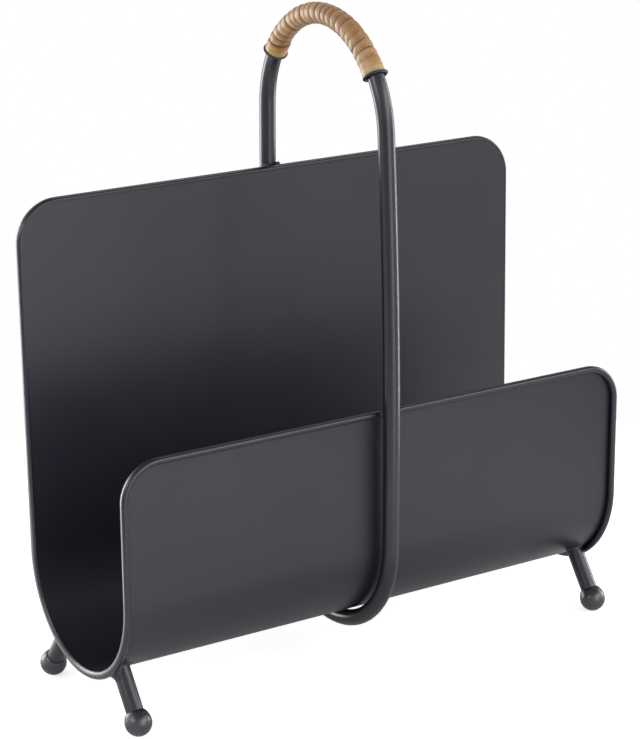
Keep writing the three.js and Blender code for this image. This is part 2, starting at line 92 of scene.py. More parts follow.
MERGE_DISTANCE = 0.001 * MM
LARGE_FACE_WEIGHT = 60
SHARP_ANGLE = math.radians(50)
SETTLING_ROUNDS = 12

ACROSS = np.array([1.0, 0.0, 0.0])
UP = np.array([0.0, 0.0, 1.0])
LEFT_AND_RIGHT = ((-1, "left"), (1, "right"))


def in_section(angle):
    """A unit vector in the YZ plane, turned from +Y towards +Z."""
    return np.array([0.0, math.cos(angle), math.sin(angle)])


def turned(start, towards, angle):
    """A unit vector at an angle from one axis towards another that is square to it."""
    return start * math.cos(angle) + towards * math.sin(angle)


def smooth_noise(x, y=0.0, z=0.0):
    """Repeatable noise between about -1 and 1."""
    return noise.noise(Vector((x, y, z)))


def smooth_step(value, low, high):
    """0 up to a low value, 1 from a high one, and a smooth rise between them."""
    share = min(1.0, max(0.0, (value - low) / (high - low)))
    return share * share * (3 - 2 * share)


def smooth_fall(value, low, high):
    """1 up to a low value, 0 from a high one, and a smooth fall between them."""
    return 1 - smooth_step(value, low, high)


# Places on the trough. Lengths along the sheet start at the back's top edge.
TROUGH_AXIS_HEIGHT = TROUGH_UNDERSIDE_HEIGHT + TROUGH_RADIUS
BACK_BEND_ANGLE = -BACK_LEAN
FRONT_BEND_ANGLE = FRONT_LEAN - math.pi
BEND_LENGTH = TROUGH_RADIUS * (BACK_BEND_ANGLE - FRONT_BEND_ANGLE)


def wall_length(height, lean):
    bend_end_height = TROUGH_AXIS_HEIGHT - TROUGH_RADIUS * math.sin(lean)
    return (height - bend_end_height) / math.cos(lean)


BACK_WALL_LENGTH = wall_length(BACK_HEIGHT, BACK_LEAN)
FRONT_WALL_LENGTH = wall_length(FRONT_HEIGHT, FRONT_LEAN)
SHEET_LENGTH = BACK_WALL_LENGTH + BEND_LENGTH + FRONT_WALL_LENGTH


def wall_reach(height, lean):
    return TROUGH_RADIUS / math.cos(lean) + (height - TROUGH_AXIS_HEIGHT) * math.tan(lean)


def settle_hoop():
    """The hoop's sizes, found as in the solids: it rests on both rims and against the round bottom."""
    outside = JOINT_GAP + 2 * RIM_RADIUS + JOINT_GAP + TUBE_RADIUS
    back_rim = BACK_HEIGHT - RIM_RADIUS
    front_rim = FRONT_HEIGHT - RIM_RADIUS
    back_reach = wall_reach(back_rim, BACK_LEAN) + outside
    front_reach = wall_reach(front_rim, FRONT_LEAN) + outside
    leg_bottom = TROUGH_AXIS_HEIGHT
    for _ in range(SETTLING_ROUNDS):
        middle = (LEG_TOP_HEIGHT + leg_bottom) / 2
        half_length = (LEG_TOP_HEIGHT - leg_bottom) / 2
        back = back_reach - LEG_BOW * (1 - ((back_rim - middle) / half_length) ** 2)
        front = front_reach - LEG_BOW * (1 - ((front_rim - middle) / half_length) ** 2)
        spacing = (back + front) / 2
        trough_offset = (front - back) / 2
        end_angle = math.atan(2 * LEG_BOW / half_length)
        bend_radius = spacing / math.cos(end_angle)
        bend_rise = spacing * math.tan(end_angle)
        slack = bend_radius - TUBE_RADIUS - JOINT_GAP - TROUGH_RADIUS
        bend_lift = math.sqrt(slack ** 2 - trough_offset ** 2)
        leg_bottom = TROUGH_AXIS_HEIGHT + bend_lift - bend_rise
    return {
        "leg_bottom": leg_bottom,
        "middle": middle,
        "half_length": half_length,
        "spacing": spacing,
        "trough_offset": trough_offset,
        "end_angle": end_angle,
        "bend_radius": bend_radius,
        "bend_rise": bend_rise,
        "contact_angle": math.atan2(-bend_lift, trough_offset),
    }


HOOP = settle_hoop()
TROUGH_AXIS = np.array([0.0, HOOP["trough_offset"], TROUGH_AXIS_HEIGHT])
ARCH_CENTRE = UP * (LEG_TOP_HEIGHT - HOOP["bend_rise"])
LOWER_BEND_CENTRE = UP * (HOOP["leg_bottom"] + HOOP["bend_rise"])


def trough_at(along):
    """Place, outward normal and heading on the trough's outer face."""
    on_bend = min(max(along - BACK_WALL_LENGTH, 0.0), BEND_LENGTH)
    angle = BACK_BEND_ANGLE - on_bend / TROUGH_RADIUS
    normal = in_section(angle)
    heading = in_section(angle - math.pi / 2)
    past_bend = along - BACK_WALL_LENGTH - on_bend
    place = TROUGH_AXIS + normal * TROUGH_RADIUS + heading * past_bend
    return place, normal, heading


def hoop_station(place, outward_angle):
    return place, in_section(outward_angle), in_section(outward_angle + math.pi / 2)


def arch_station(angle):
    return hoop_station(ARCH_CENTRE + in_section(angle) * HOOP["bend_radius"], angle)


def lower_bend_station(angle):
    """A place on the lower bend, which closes the solids' gap to the round bottom."""
    reach = HOOP["bend_radius"] - JOINT_GAP * math.sin(angle) ** 2
    return hoop_station(LOWER_BEND_CENTRE + in_section(angle) * reach, angle)


def leg_station(height, direction):
    share = (height - HOOP["middle"]) / HOOP["half_length"]
    reach = HOOP["spacing"] + LEG_BOW * (1 - share ** 2)
    slope = -2 * LEG_BOW * share / HOOP["half_length"]
    outward = -math.atan(slope) if direction > 0 else math.pi + math.atan(slope)
    return hoop_station(np.array([0.0, direction * reach, height]), outward)


# Meshes.
def grid_faces(rings, points, closed_along):
    """Quads between closed rings of points, each ring joined to the next."""
    faces = []
    for i in range(rings if closed_along else rings - 1):
        here = i * points
        after = ((i + 1) % rings) * points
        for j in range(points):
            k = (j + 1) % points
            faces.append((here + j, here + k, after + k, after + j))
    return faces


def tidy_mesh(mesh):
    """Joins points that lie on each other and turns all faces outward."""
    shell = bmesh.new()
    shell.from_mesh(mesh)
    bmesh.ops.remove_doubles(shell, verts=shell.verts, dist=MERGE_DISTANCE)
    bmesh.ops.recalc_face_normals(shell, faces=shell.faces)
    shell.to_mesh(mesh)
    shell.free()


def add_piece(name, points, faces, finish, nodes, attributes=None):
    """A smooth mesh that rides on the part, stands for CAD nodes and takes a finish."""
    mesh = bpy.data.meshes.new(name)
    mesh.from_pydata([tuple(point) for point in points], [], faces)
    for title, values in (attributes or {}).items():
        layer = mesh.attributes.new(title, "FLOAT", "POINT")
        layer.data.foreach_set("value", np.asarray(values, dtype=np.float32))
    tidy_mesh(mesh)
    mesh.shade_smooth()
    mesh.set_sharp_from_angle(angle=SHARP_ANGLE)
    mesh.materials.append(finish)
    piece = bpy.data.objects.new(name, mesh)
    bpy.context.scene.collection.objects.link(piece)
    even = piece.modifiers.new("even_shading", "WEIGHTED_NORMAL")
    even.mode = "FACE_AREA"
    even.weight = LARGE_FACE_WEIGHT
    even.keep_sharp = True
    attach(piece, "root")
    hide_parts(*nodes)
    return piece


def add_sweep(name, rings, closed_along, finish, nodes, attributes=None):
    """A tube through rings of points. An open one gets flat ends."""
    rings = np.asarray(rings)
    count, sides = rings.shape[:2]
    faces = grid_faces(count, sides, closed_along)
    if not closed_along:
        faces.append(tuple(reversed(range(sides))))
        faces.append(tuple(range((count - 1) * sides, count * sides)))
    return add_piece(name, rings.reshape(-1, 3), faces, finish, nodes, attributes)


def round_ring(station, radius, sides):
    place, normal, heading = station
    side = np.cross(heading, normal)
    angles = 2 * math.pi * np.arange(sides) / sides
    return place + radius * (np.outer(np.cos(angles), normal) + np.outer(np.sin(angles), side))


# Materials.
def new_material(name):
    material = bpy.data.materials.new(name)
    material.use_nodes = True
    return material, material.node_tree.nodes, material.node_tree.links


def add_noise(nodes, links, coordinates, scale, detail, roughness=0.5):
    texture = nodes.new("ShaderNodeTexNoise")
    texture.inputs["Scale"].default_value = scale
    texture.inputs["Detail"].default_value = detail
    texture.inputs["Roughness"].default_value = roughness
    links.new(coordinates, texture.inputs["Vector"])
    return texture.outputs["Fac"]


def add_ramp(nodes, links, factor, stops):
    """A colour ramp. Each stop is a position and a linear colour."""
    ramp = nodes.new("ShaderNodeValToRGB")
    elements = ramp.color_ramp.elements
    while len(elements) < len(stops):
        elements.new(1.0)
    for element, (position, colour) in zip(elements, stops):
        element.position = position
        element.color = (*colour, 1.0)
    links.new(factor, ramp.inputs["Fac"])
    return ramp.outputs["Color"]


def add_range(nodes, links, value, low, high, from_low=0.0, from_high=1.0, kind="LINEAR"):
    """Maps a value from one range to another, and holds it at both ends."""
    spread = nodes.new("ShaderNodeMapRange")
    spread.interpolation_type = kind
    spread.inputs["From Min"].default_value = from_low
    spread.inputs["From Max"].default_value = from_high
    spread.inputs["To Min"].default_value = low
    spread.inputs["To Max"].default_value = high
    links.new(value, spread.inputs["Value"])
    return spread.outputs["Result"]


def add_slope(nodes, links, value, slope):
    """A smooth change. A slope is the results before and after it, and where it starts and ends."""
    return add_range(nodes, links, value, *slope, "SMOOTHSTEP")


def add_bump(nodes, links, height, strength, distance):
    bump = nodes.new("ShaderNodeBump")
    bump.inputs["Strength"].default_value = strength
    bump.inputs["Distance"].default_value = distance
    links.new(height, bump.inputs["Height"])
    return bump.outputs["Normal"]


def add_maths(nodes, links, operation, *sources):
    node = nodes.new("ShaderNodeMath")
    node.operation = operation
    for source, socket in zip(sources, node.inputs):
        links.new(source, socket)
    return node.outputs["Value"]


def add_vector_maths(nodes, links, operation, vector, other=(0.0, 0.0, 0.0)):
    """A number worked out from a vector and a fixed one."""
    node = nodes.new("ShaderNodeVectorMath")
    node.operation = operation
    node.inputs[1].default_value = other
    links.new(vector, node.inputs[0])
    return node.outputs["Value"]


# Satin black paint, in linear colours. A gloss is an index of refraction. A grain is its scale and its
# depth. A sheen is the roughness where the paint is smoothest and where it is roughest.
PAINT_TONES = [(0.3, (0.0088, 0.0086, 0.0165)), (0.7, (0.0112, 0.0109, 0.0203))]
PAINT_GLOSS = 1.57
BALL_GLOSS = 1.8
PAINT_GRAIN_STRENGTH = 0.35
SHEET_GRAIN = (1400, 0.02 * MM)
SHEET_SHEEN = (0.37, 0.42)
FRAME_GRAIN = (1700, 0.02 * MM)
FRAME_SHEEN = (0.28, 0.35)
BALL_GRAIN = (1700, 0.03 * MM)
BALL_SHEEN = (0.34, 0.42)
WELD_GRAIN = (900, 0.1 * MM)
WELD_SHEEN = (0.48, 0.62)
RING_GRAIN = (1500, 0.03 * MM)
RING_SHEEN = (0.35, 0.5)


def make_paint(name, grain, sheen, gloss=PAINT_GLOSS):
    """Black paint: a fine orange-peel grain, and a sheen that wanders a little."""
    material, nodes, links = new_material(name)
    shader = nodes["Principled BSDF"]
    place = nodes.new("ShaderNodeTexCoord").outputs["Object"]
    cloud = add_noise(nodes, links, place, scale=18, detail=3)
    links.new(add_ramp(nodes, links, cloud, PAINT_TONES), shader.inputs["Base Color"])
    wander = add_noise(nodes, links, place, scale=60, detail=4, roughness=0.6)
    links.new(add_range(nodes, links, wander, *sheen), shader.inputs["Roughness"])
    grain_scale, grain_depth = grain
    peel = add_noise(nodes, links, place, grain_scale, detail=2)
    bump = add_bump(nodes, links, peel, PAINT_GRAIN_STRENGTH, grain_depth)
    links.new(bump, shader.inputs["Normal"])
    shader.inputs["IOR"].default_value = gloss
    return material


def read_attribute(nodes, title):
    node = nodes.new("ShaderNodeAttribute")
    node.attribute_name = title
    return node.outputs["Fac"]


def mix_colours(nodes, links, kind, factor, first, second):
    mix = nodes.new("ShaderNodeMix")
    mix.data_type = "RGBA"
    mix.blend_type = kind
    if isinstance(factor, float):
        mix.inputs["Factor"].default_value = factor
    else:
        links.new(factor, mix.inputs["Factor"])
    for source, socket in ((first, mix.inputs["A"]), (second, mix.inputs["B"])):
        if isinstance(source, tuple):
            socket.default_value = (*source, 1.0)
        else:
            links.new(source, socket)
    return mix.outputs["Result"]


# Split cane. Its tones, tints and streaks are stops of colour ramps: a position and a linear colour.
CANE_TONES = [
    (0.30, (0.50, 0.355, 0.20)),
    (0.45, (0.45, 0.285, 0.135)),
    (0.58, (0.39, 0.222, 0.09)),
    (0.72, (0.47, 0.315, 0.15)),
]
CANE_ORANGE = (0.41, 0.195, 0.076)
CANE_ORANGE_SLOPE = (0.0, 0.8, 0.52, 0.66)
CANE_END_TONE = (0.50, 0.325, 0.135)
# Along the winding the skin is a little darker and yellower at the back end, paler and greyer about the
# middle, where this is a painted highlight, darker past the middle, and a little paler again at the front
# end.
CANE_LENGTH_TINTS_AND_PAINTED_HIGHLIGHT = [
    (0.05, (0.91, 0.87, 0.77)),
    (0.40, (1.04, 1.13, 1.24)),
    (0.64, (0.84, 0.77, 0.73)),
    (0.98, (1.04, 1.08, 1.10)),
]
CANE_STREAKS = [
    (0.32, (0.60, 0.50, 0.40)),
    (0.48, (0.97, 0.95, 0.92)),
    (0.70, (1.14, 1.12, 1.08)),
]
CANE_STREAK_STRENGTH = 0.95
# Painted light across each turn, as strong as its crease is deep: painted shade at both edges, where the
# creases are, and on the side towards the front, and a painted highlight on the side towards the back.
CANE_PAINTED_LIGHT_TINTS = [
    (0.03, (0.30, 0.21, 0.14)),
    (0.09, (1.04, 1.10, 1.20)),
    (0.38, (1.03, 1.05, 1.09)),
    (0.78, (0.84, 0.77, 0.69)),
    (0.96, (0.30, 0.20, 0.13)),
]
FIBRES_ALONG = 1.6
FIBRES_ACROSS = 6.0
STRETCHES_ACROSS = 0.25
CANE_SHEEN = (0.37, 0.52)
CANE_FIBRE_STRENGTH = 0.6
CANE_FIBRE_DEPTH = 0.07 * MM
CANE_COAT = 0.1
CANE_COAT_ROUGHNESS = 0.35


def add_strip_noise(nodes, links, along, across, scale, detail, roughness):
    """Noise on the flat strip, read at a place along it and across it."""
    place = nodes.new("ShaderNodeCombineXYZ")
    links.new(along, place.inputs["X"])
    links.new(across, place.inputs["Y"])
    return add_noise(nodes, links, place.outputs["Vector"], scale, detail, roughness)


def add_cane_fibres(nodes, links, along, across):
    """Long fibres that run the strip's length, on the half of its width towards the front."""
    along = add_range(nodes, links, along, 0.0, FIBRES_ALONG)
    across = add_range(nodes, links, across, 0.0, FIBRES_ACROSS)
    return add_strip_noise(nodes, links, along, across, scale=1.6, detail=6, roughness=0.65)


def add_cane_tones(nodes, links, along, across):
    """The skin's tones: paler and darker stretches, orange patches, yellower ends, and a slow drift along
    the winding, with a painted highlight as a paler, greyer middle.
    """
    squeezed = add_range(nodes, links, across, 0.0, STRETCHES_ACROSS)
    stretches = add_strip_noise(nodes, links, along, squeezed, scale=1.9, detail=2, roughness=0.5)
    tones = add_ramp(nodes, links, stretches, CANE_TONES)
    place = nodes.new("ShaderNodeTexCoord").outputs["Object"]
    mottle = add_noise(nodes, links, place, scale=85, detail=4, roughness=0.6)
    orange = add_slope(nodes, links, mottle, CANE_ORANGE_SLOPE)
    tones = mix_colours(nodes, links, "MIX", orange, tones, CANE_ORANGE)
    tones = mix_colours(nodes, links, "MIX", read_attribute(nodes, "at_end"), tones, CANE_END_TONE)
    length_share = add_range(nodes, links, along, 0.0, 1.0, 0.0, HELIX_TURNS)
    length_tint_and_painted_highlight = add_ramp(nodes, links, length_share, CANE_LENGTH_TINTS_AND_PAINTED_HIGHLIGHT)
    return mix_colours(nodes, links, "MULTIPLY", 1.0, tones, length_tint_and_painted_highlight)


def make_cane_finish():
    """Split cane: tan skin with long fibres, and painted light across each turn: painted shade in the
    creases between its turns.
    """
    material, nodes, links = new_material("split_cane")
    shader = nodes["Principled BSDF"]
    along = read_attribute(nodes, "along")
    across = read_attribute(nodes, "across")
    fibres = add_cane_fibres(nodes, links, along, across)
    tones = add_cane_tones(nodes, links, along, across)
    streaks = add_ramp(nodes, links, fibres, CANE_STREAKS)
    streaked = mix_colours(nodes, links, "MULTIPLY", CANE_STREAK_STRENGTH, tones, streaks)
    # Painted shade and painted highlight across the strip, weighed by the crease's depth.
    side_share = add_range(nodes, links, across, 0.0, 1.0, -1.0, 1.0)
    painted_light_tint = add_ramp(nodes, links, side_share, CANE_PAINTED_LIGHT_TINTS)
    crease = read_attribute(nodes, "crease")
    with_painted_light = mix_colours(nodes, links, "MULTIPLY", crease, streaked, painted_light_tint)
    links.new(with_painted_light, shader.inputs["Base Color"])
    links.new(add_range(nodes, links, fibres, *CANE_SHEEN), shader.inputs["Roughness"])
    bump = add_bump(nodes, links, fibres, CANE_FIBRE_STRENGTH, CANE_FIBRE_DEPTH)
    links.new(bump, shader.inputs["Normal"])
    shader.inputs["Coat Weight"].default_value = CANE_COAT
    shader.inputs["Coat Roughness"].default_value = CANE_COAT_ROUGHNESS
    return material


sheet_paint = make_paint("satin_black_sheet", SHEET_GRAIN, SHEET_SHEEN)
frame_paint = make_paint("satin_black_frame", FRAME_GRAIN, FRAME_SHEEN)
ball_paint = make_paint("satin_black_ball", BALL_GRAIN, BALL_SHEEN, BALL_GLOSS)
weld_paint = make_paint("satin_black_weld", WELD_GRAIN, WELD_SHEEN)
ring_finish = make_paint("black_ring", RING_GRAIN, RING_SHEEN)
cane_finish = make_cane_finish()


# Trough sheet. Its cut edges are rounded by half its thickness.
EDGE_ROUND = SHEET_THICKNESS / 2
SKIN_INSET = 1.6 * MM
EDGE_STEPS = 4
SHEET_COLUMNS = 40
CORNER_STEPS = 14
WALL_ROWS = 8
BEND_ROWS = 72


def edge_insets():
    """Distances in from a cut edge that step evenly round its rounding."""
    return [EDGE_ROUND * (1 - math.cos(math.pi / 2 * i / EDGE_STEPS)) for i in range(EDGE_STEPS + 1)]


def end_rows(corner_radius, wall):
    """Distances from a top edge: its rounding, the corner, then the wall down to the bend."""
    rows = edge_insets()
    for i in range(1, CORNER_STEPS + 1):
        inset = corner_radius * (1 - math.cos(math.pi / 2 * i / CORNER_STEPS))
        if inset > rows[-1] + EDGE_ROUND / 2:
            rows.append(inset)
    for i in range(1, WALL_ROWS):
        rows.append(corner_radius + (wall - corner_radius) * i / WALL_ROWS)
    return [row for row in rows if row >= SKIN_INSET]


def sheet_rows():
    back = end_rows(BACK_CORNER_RADIUS, BACK_WALL_LENGTH)
    bend = [BACK_WALL_LENGTH + BEND_LENGTH * i / BEND_ROWS for i in range(BEND_ROWS + 1)]
    front = [SHEET_LENGTH - row for row in reversed(end_rows(FRONT_CORNER_RADIUS, FRONT_WALL_LENGTH))]
    return back + bend + front


def corner_at(along):
    """The corner radius at the nearer top edge, and the distance from that edge."""
    if along < SHEET_LENGTH / 2:
        return BACK_CORNER_RADIUS, along
    return FRONT_CORNER_RADIUS, SHEET_LENGTH - along


def half_width_at(along):
    radius, inset = corner_at(along)
    if inset >= radius:
        return TROUGH_WIDTH / 2
    return TROUGH_WIDTH / 2 - radius + math.sqrt(radius ** 2 - (radius - inset) ** 2)


def edge_distance(along, across):
    """How far a place on the flat sheet is from its outline."""
    radius, inset = corner_at(along)
    past = abs(across) - (TROUGH_WIDTH / 2 - radius)
    if past > 0 and inset < radius:
        return max(0.0, radius - math.hypot(past, radius - inset))
    return min(TROUGH_WIDTH / 2 - abs(across), inset)


def half_thickness_at(along, across):
    missing = EDGE_ROUND - min(edge_distance(along, across), EDGE_ROUND)
    return math.sqrt(max(0.0, EDGE_ROUND ** 2 - missing ** 2))


def sheet_ring(along):
    """One row across the sheet: over its outer face, then back over its inner face."""
    place, normal, _ = trough_at(along)
    half_width = half_width_at(along) - SKIN_INSET
    inner_half = half_width - EDGE_ROUND
    columns = [inner_half * (2 * i / SHEET_COLUMNS - 1) for i in range(SHEET_COLUMNS + 1)]
    rounding = [half_width - inset for inset in edge_insets()[:-1]]
    columns = [-reach for reach in rounding] + columns + list(reversed(rounding))
    middle = place - normal * EDGE_ROUND
    halves = [half_thickness_at(along, abs(x) + SKIN_INSET) for x in columns]
    outer = [middle + ACROSS * x + normal * half for x, half in zip(columns, halves)]
    inner = [middle + ACROSS * x - normal * half for x, half in reversed(list(zip(columns, halves)))]
    return outer + inner


def make_sheet():
    rings = [sheet_ring(along) for along in sheet_rows()]
    return add_sweep("trough_sheet_skin", rings, False, sheet_paint, ["trough_sheet"])


# Rim wire. It lies against the sheet here, where the solids leave a gap, and filler and paint round it
# and the sheet's cut edge into one lip. The sheet's own skin ends inside the lip.
RIM_SIDES = 40
RIM_ROUND_SWEEP = math.radians(270)
LIP_STEPS = 14
LIP_REACH_ON_WALLS = 1.5 * MM
LIP_REACH_ON_BEND = 1.9 * MM
LIP_BLEND_LENGTH = 60 * MM
LIP_COVER = 2.5 * MM
LIP_PROUD = 0.03 * MM
RIM_WALL_STEPS = 10


def steps_between(start, end, count):
    """Evenly spaced values from a start to an end, without either."""
    return [start + (end - start) * i / count for i in range(1, count)]


def rim_half_route():
    """Right half of the wire's route on the flat sheet: along, across and turn."""
    back_bend = BACK_CORNER_RADIUS - RIM_RADIUS
    front_bend = FRONT_CORNER_RADIUS - RIM_RADIUS
    front_corner = SHEET_LENGTH - FRONT_CORNER_RADIUS
    quarter = [math.pi / 2 * i / CORNER_STEPS for i in range(CORNER_STEPS + 1)]
    route = []
    for angle in quarter:
        across = TROUGH_WIDTH / 2 - BACK_CORNER_RADIUS + back_bend * math.sin(angle)
        route.append((BACK_CORNER_RADIUS - back_bend * math.cos(angle), across, angle))
    edge = steps_between(BACK_CORNER_RADIUS, BACK_WALL_LENGTH, RIM_WALL_STEPS)
    edge += [BACK_WALL_LENGTH + BEND_LENGTH * i / BEND_ROWS for i in range(BEND_ROWS + 1)]
    edge += steps_between(BACK_WALL_LENGTH + BEND_LENGTH, front_corner, RIM_WALL_STEPS)
    route += [(along, TROUGH_WIDTH / 2 - RIM_RADIUS, math.pi / 2) for along in edge]
    for angle in quarter:
        across = TROUGH_WIDTH / 2 - FRONT_CORNER_RADIUS + front_bend * math.cos(angle)
        route.append((front_corner + front_bend * math.sin(angle), across, math.pi / 2 + angle))
    return route


def rim_station(along, across, turn):
    place, normal, heading = trough_at(along)
    centre = place + normal * RIM_RADIUS + ACROSS * across
    return centre, normal, turned(ACROSS, heading, turn)


def lip_reach_at(along):
    """How far in from the outline the lip's rounding starts on the inner face."""
    past_walls = min(along - BACK_WALL_LENGTH, BACK_WALL_LENGTH + BEND_LENGTH - along)
    on_bend = smooth_step(past_walls, -LIP_BLEND_LENGTH, 0.0)
    return LIP_REACH_ON_WALLS + (LIP_REACH_ON_BEND - LIP_REACH_ON_WALLS) * on_bend


def rim_ring(along, across, turn):
    """The wire's section: round, but for a lip from its outermost line to the sheet's inner face."""
    place, normal, heading = rim_station(along, across, turn)
    outward = np.cross(heading, normal)
    ring = []
    for i in range(RIM_SIDES + 1):
        angle = math.pi / 2 - RIM_ROUND_SWEEP * i / RIM_SIDES
        ring.append(place + RIM_RADIUS * turned(normal, outward, angle))
    fall = RIM_RADIUS + SHEET_THICKNESS + LIP_PROUD
    ring.append(place - normal * fall + outward * (RIM_RADIUS - LIP_COVER))
    reach = lip_reach_at(along)
    for i in range(LIP_STEPS):
        angle = math.pi / 2 * (1 - i / LIP_STEPS)
        outside = RIM_RADIUS - reach * (1 - math.cos(angle))
        ring.append(place - normal * fall * math.sin(angle) + outward * outside)
    return ring


def make_rim():
    right = rim_half_route()
    left = [(along, -across, -turn) for along, across, turn in reversed(right)]
    rings = [rim_ring(*step) for step in right + left]
    return add_sweep("rim_wire_round", rings, True, frame_paint, ["rim_wire"])


# Hoop tube.
TUBE_SIDES = 48
HOOP_BEND_STEPS = 80
LEG_STEPS = 24


def hoop_stations():
    bend_sweep = math.pi - 2 * HOOP["end_angle"]
    leg_length = LEG_TOP_HEIGHT - HOOP["leg_bottom"]
    bend_angles = [HOOP["end_angle"] + bend_sweep * i / HOOP_BEND_STEPS for i in range(HOOP_BEND_STEPS)]
    leg_rises = [leg_length * i / LEG_STEPS for i in range(LEG_STEPS)]
    stations = [lower_bend_station(angle - math.pi) for angle in bend_angles]
    stations += [leg_station(HOOP["leg_bottom"] + rise, 1) for rise in leg_rises]
    stations += [arch_station(angle) for angle in bend_angles]
    stations += [leg_station(LEG_TOP_HEIGHT - rise, -1) for rise in leg_rises]
    return stations


def make_hoop():
    rings = [round_ring(station, TUBE_RADIUS, TUBE_SIDES) for station in hoop_stations()]
    return add_sweep("hoop_tube_round", rings, True, frame_paint, ["hoop_tube"])


# Stop rings: flattened black rings, drawn finer than the solids.
RING_SEGMENTS = 64
RING_SIDES = 20
RING_FINE_THICKNESS = 1.7 * MM


def make_end_ring(name, node, angle):
    place, normal, heading = arch_station(angle)
    side = np.cross(heading, normal)
    inner_radius = TUBE_RADIUS + JOINT_GAP / 2
    wire_half = (RING_OUTER_RADIUS - inner_radius) / 2
    middle_radius = inner_radius + wire_half
    rings = []
    for i in range(RING_SEGMENTS):
        outward = turned(normal, side, 2 * math.pi * i / RING_SEGMENTS)
        centre = place + outward * middle_radius
        ring = []
        for turn in 2 * math.pi * np.arange(RING_SIDES) / RING_SIDES:
            across_wire = outward * wire_half * math.cos(turn)
            along_tube = heading * RING_FINE_THICKNESS / 2 * math.sin(turn)
            ring.append(centre + across_wire + along_tube)
        rings.append(ring)
    return add_sweep(name, rings, True, ring_finish, [node])


# Cane winding. Its turns are crowned and lie side by side with uneven creases between them, which the
# finish darkens with painted shade. They are nearly flush beside the stop rings, and the binding bulges
# inward at both ends.
CANE_STEPS_PER_TURN = 72
CANE_TOP_POINTS = 15
CANE_SIDE_THICKNESS = 0.45 * MM
CANE_CROWN = 0.6 * MM
CANE_FILL_SHARE = 1.05
CANE_UNEVEN_SHARE = 0.1
CANE_FINE_UNEVEN_SHARE = 0.05
CANE_END_HALF_WIDTH = 2 * MM
CANE_INNER_RADIUS = 5.3 * MM
CANE_TILT = 0.1
CANE_TILT_MEAN_SHARE = 0.4
CANE_SLOW_WANDER = 1.3 * MM
CANE_QUICK_WANDER = 0.3 * MM
CANE_LIFT = 0.1 * MM
CANE_SHIFT = 0.45 * MM
CANE_BACK_BULGE = 0.9 * MM
CANE_FRONT_SWELL = 0.55 * MM
CANE_START_ANGLE = math.radians(-90)
END_TINT_PER_TURN = 4

# Turns of the winding where the bulge and the creases' ends rise or fall, and the two deep creases with
# the turns beside them over which they fade.
BULGE_END_TURNS = (1.2, 2.0)
CREASE_START_TURNS = (-0.4, 0.5)
CREASE_END_TURNS = (HELIX_TURNS - 1.5, HELIX_TURNS - 0.8)
LAST_DEEP_CREASES = (HELIX_TURNS - 3, HELIX_TURNS - 2)
DEEP_CREASE_FADE_TURNS = (0.3, 0.7)

# Shares of the winding's length where the swell and the creases change.
SWELL_START_SHARES = (0.45, 0.95)
MIDDLE_START_SHARES = (0.15, 0.21)
MIDDLE_END_SHARES = (0.58, 0.66)
FRONT_START_SHARES = (0.58, 0.70)
FRONT_END_SHARES = (0.78, 0.88)

# Depths of the creases, as shares of the crown.
CREASE_SHARE = 0.80
CREASE_UNEVEN_SHARE = 0.60
CREASE_MIDDLE_SHARE = 0.28
CREASE_FRONT_SHARE = -0.35
CREASE_DEEP_SHARE = 0.5
CREASE_LEAST_SHARE = 0.35
CREASE_AT_END_SHARE = 0.25

# Noise along the winding: how quickly it changes from turn to turn, and its seed.
CREASE_NOISE = (1.15, 5.5)
LIFT_NOISE = (1.9, 7.7)
SLOW_WANDER_NOISE = (0.55, 2.8)
QUICK_WANDER_NOISE = (2.3, 4.2)
WIDTH_NOISE = (0.9, 3.1)
FINE_WIDTH_NOISE = (3.7, 9.6)
TILT_NOISE = (1.7, 6.6)


def cane_section():
    """Points round the strip: each one's share of its half width, and whether it is on the top."""
    top = [math.sin(math.pi * (i / (CANE_TOP_POINTS - 1) - 0.5)) for i in range(CANE_TOP_POINTS)]
    bottom = list(reversed(top))
    return [(share, True) for share in top] + [(share, False) for share in bottom]


def wind_at(turn):
    """The angle round the tube at a turn, from the arch's outer side."""
    return CANE_START_ANGLE + 2 * math.pi * turn


def length_share_at(turn):
    return min(1.0, max(0.0, turn / HELIX_TURNS))


def noise_at(turn, kind):
    changes_per_turn, seed = kind
    return smooth_noise(turn * changes_per_turn, seed)


def crease_depth(turn, wind):
    """How deep the crease beside a turn is, from nearly flush to full, seen round the tube."""
    share = length_share_at(turn)
    at_middle = smooth_step(share, *MIDDLE_START_SHARES) * smooth_fall(share, *MIDDLE_END_SHARES)
    on_front_part = smooth_step(share, *FRONT_START_SHARES) * smooth_fall(share, *FRONT_END_SHARES)
    depth = CREASE_SHARE + CREASE_UNEVEN_SHARE * noise_at(turn, CREASE_NOISE)
    depth += CREASE_MIDDLE_SHARE * at_middle
    depth += CREASE_FRONT_SHARE * on_front_part * max(0.0, math.cos(wind))
    for deep in LAST_DEEP_CREASES:
        depth += CREASE_DEEP_SHARE * smooth_fall(abs(turn - deep), *DEEP_CREASE_FADE_TURNS)
    off_end = smooth_step(turn, *CREASE_START_TURNS) * smooth_fall(turn, *CREASE_END_TURNS)
    kept = CREASE_AT_END_SHARE + (1 - CREASE_AT_END_SHARE) * off_end
    return min(1.0, max(CREASE_LEAST_SHARE, depth)) * kept


def cane_outside(turn, wind):
    """How far the binding stands out or in from an even thickness, seen round the tube."""
    share = length_share_at(turn)
    outer = math.cos(wind)
    inner = (1 - outer) / 2
    lift = CANE_LIFT * noise_at(turn, LIFT_NOISE)
    shift = CANE_SHIFT * (1 - 2 * share) * outer
    bulge = CANE_BACK_BULGE * smooth_fall(turn, *BULGE_END_TURNS)
    swell = CANE_FRONT_SWELL * smooth_step(share, *SWELL_START_SHARES)
    return lift + shift + (bulge + swell) * inner


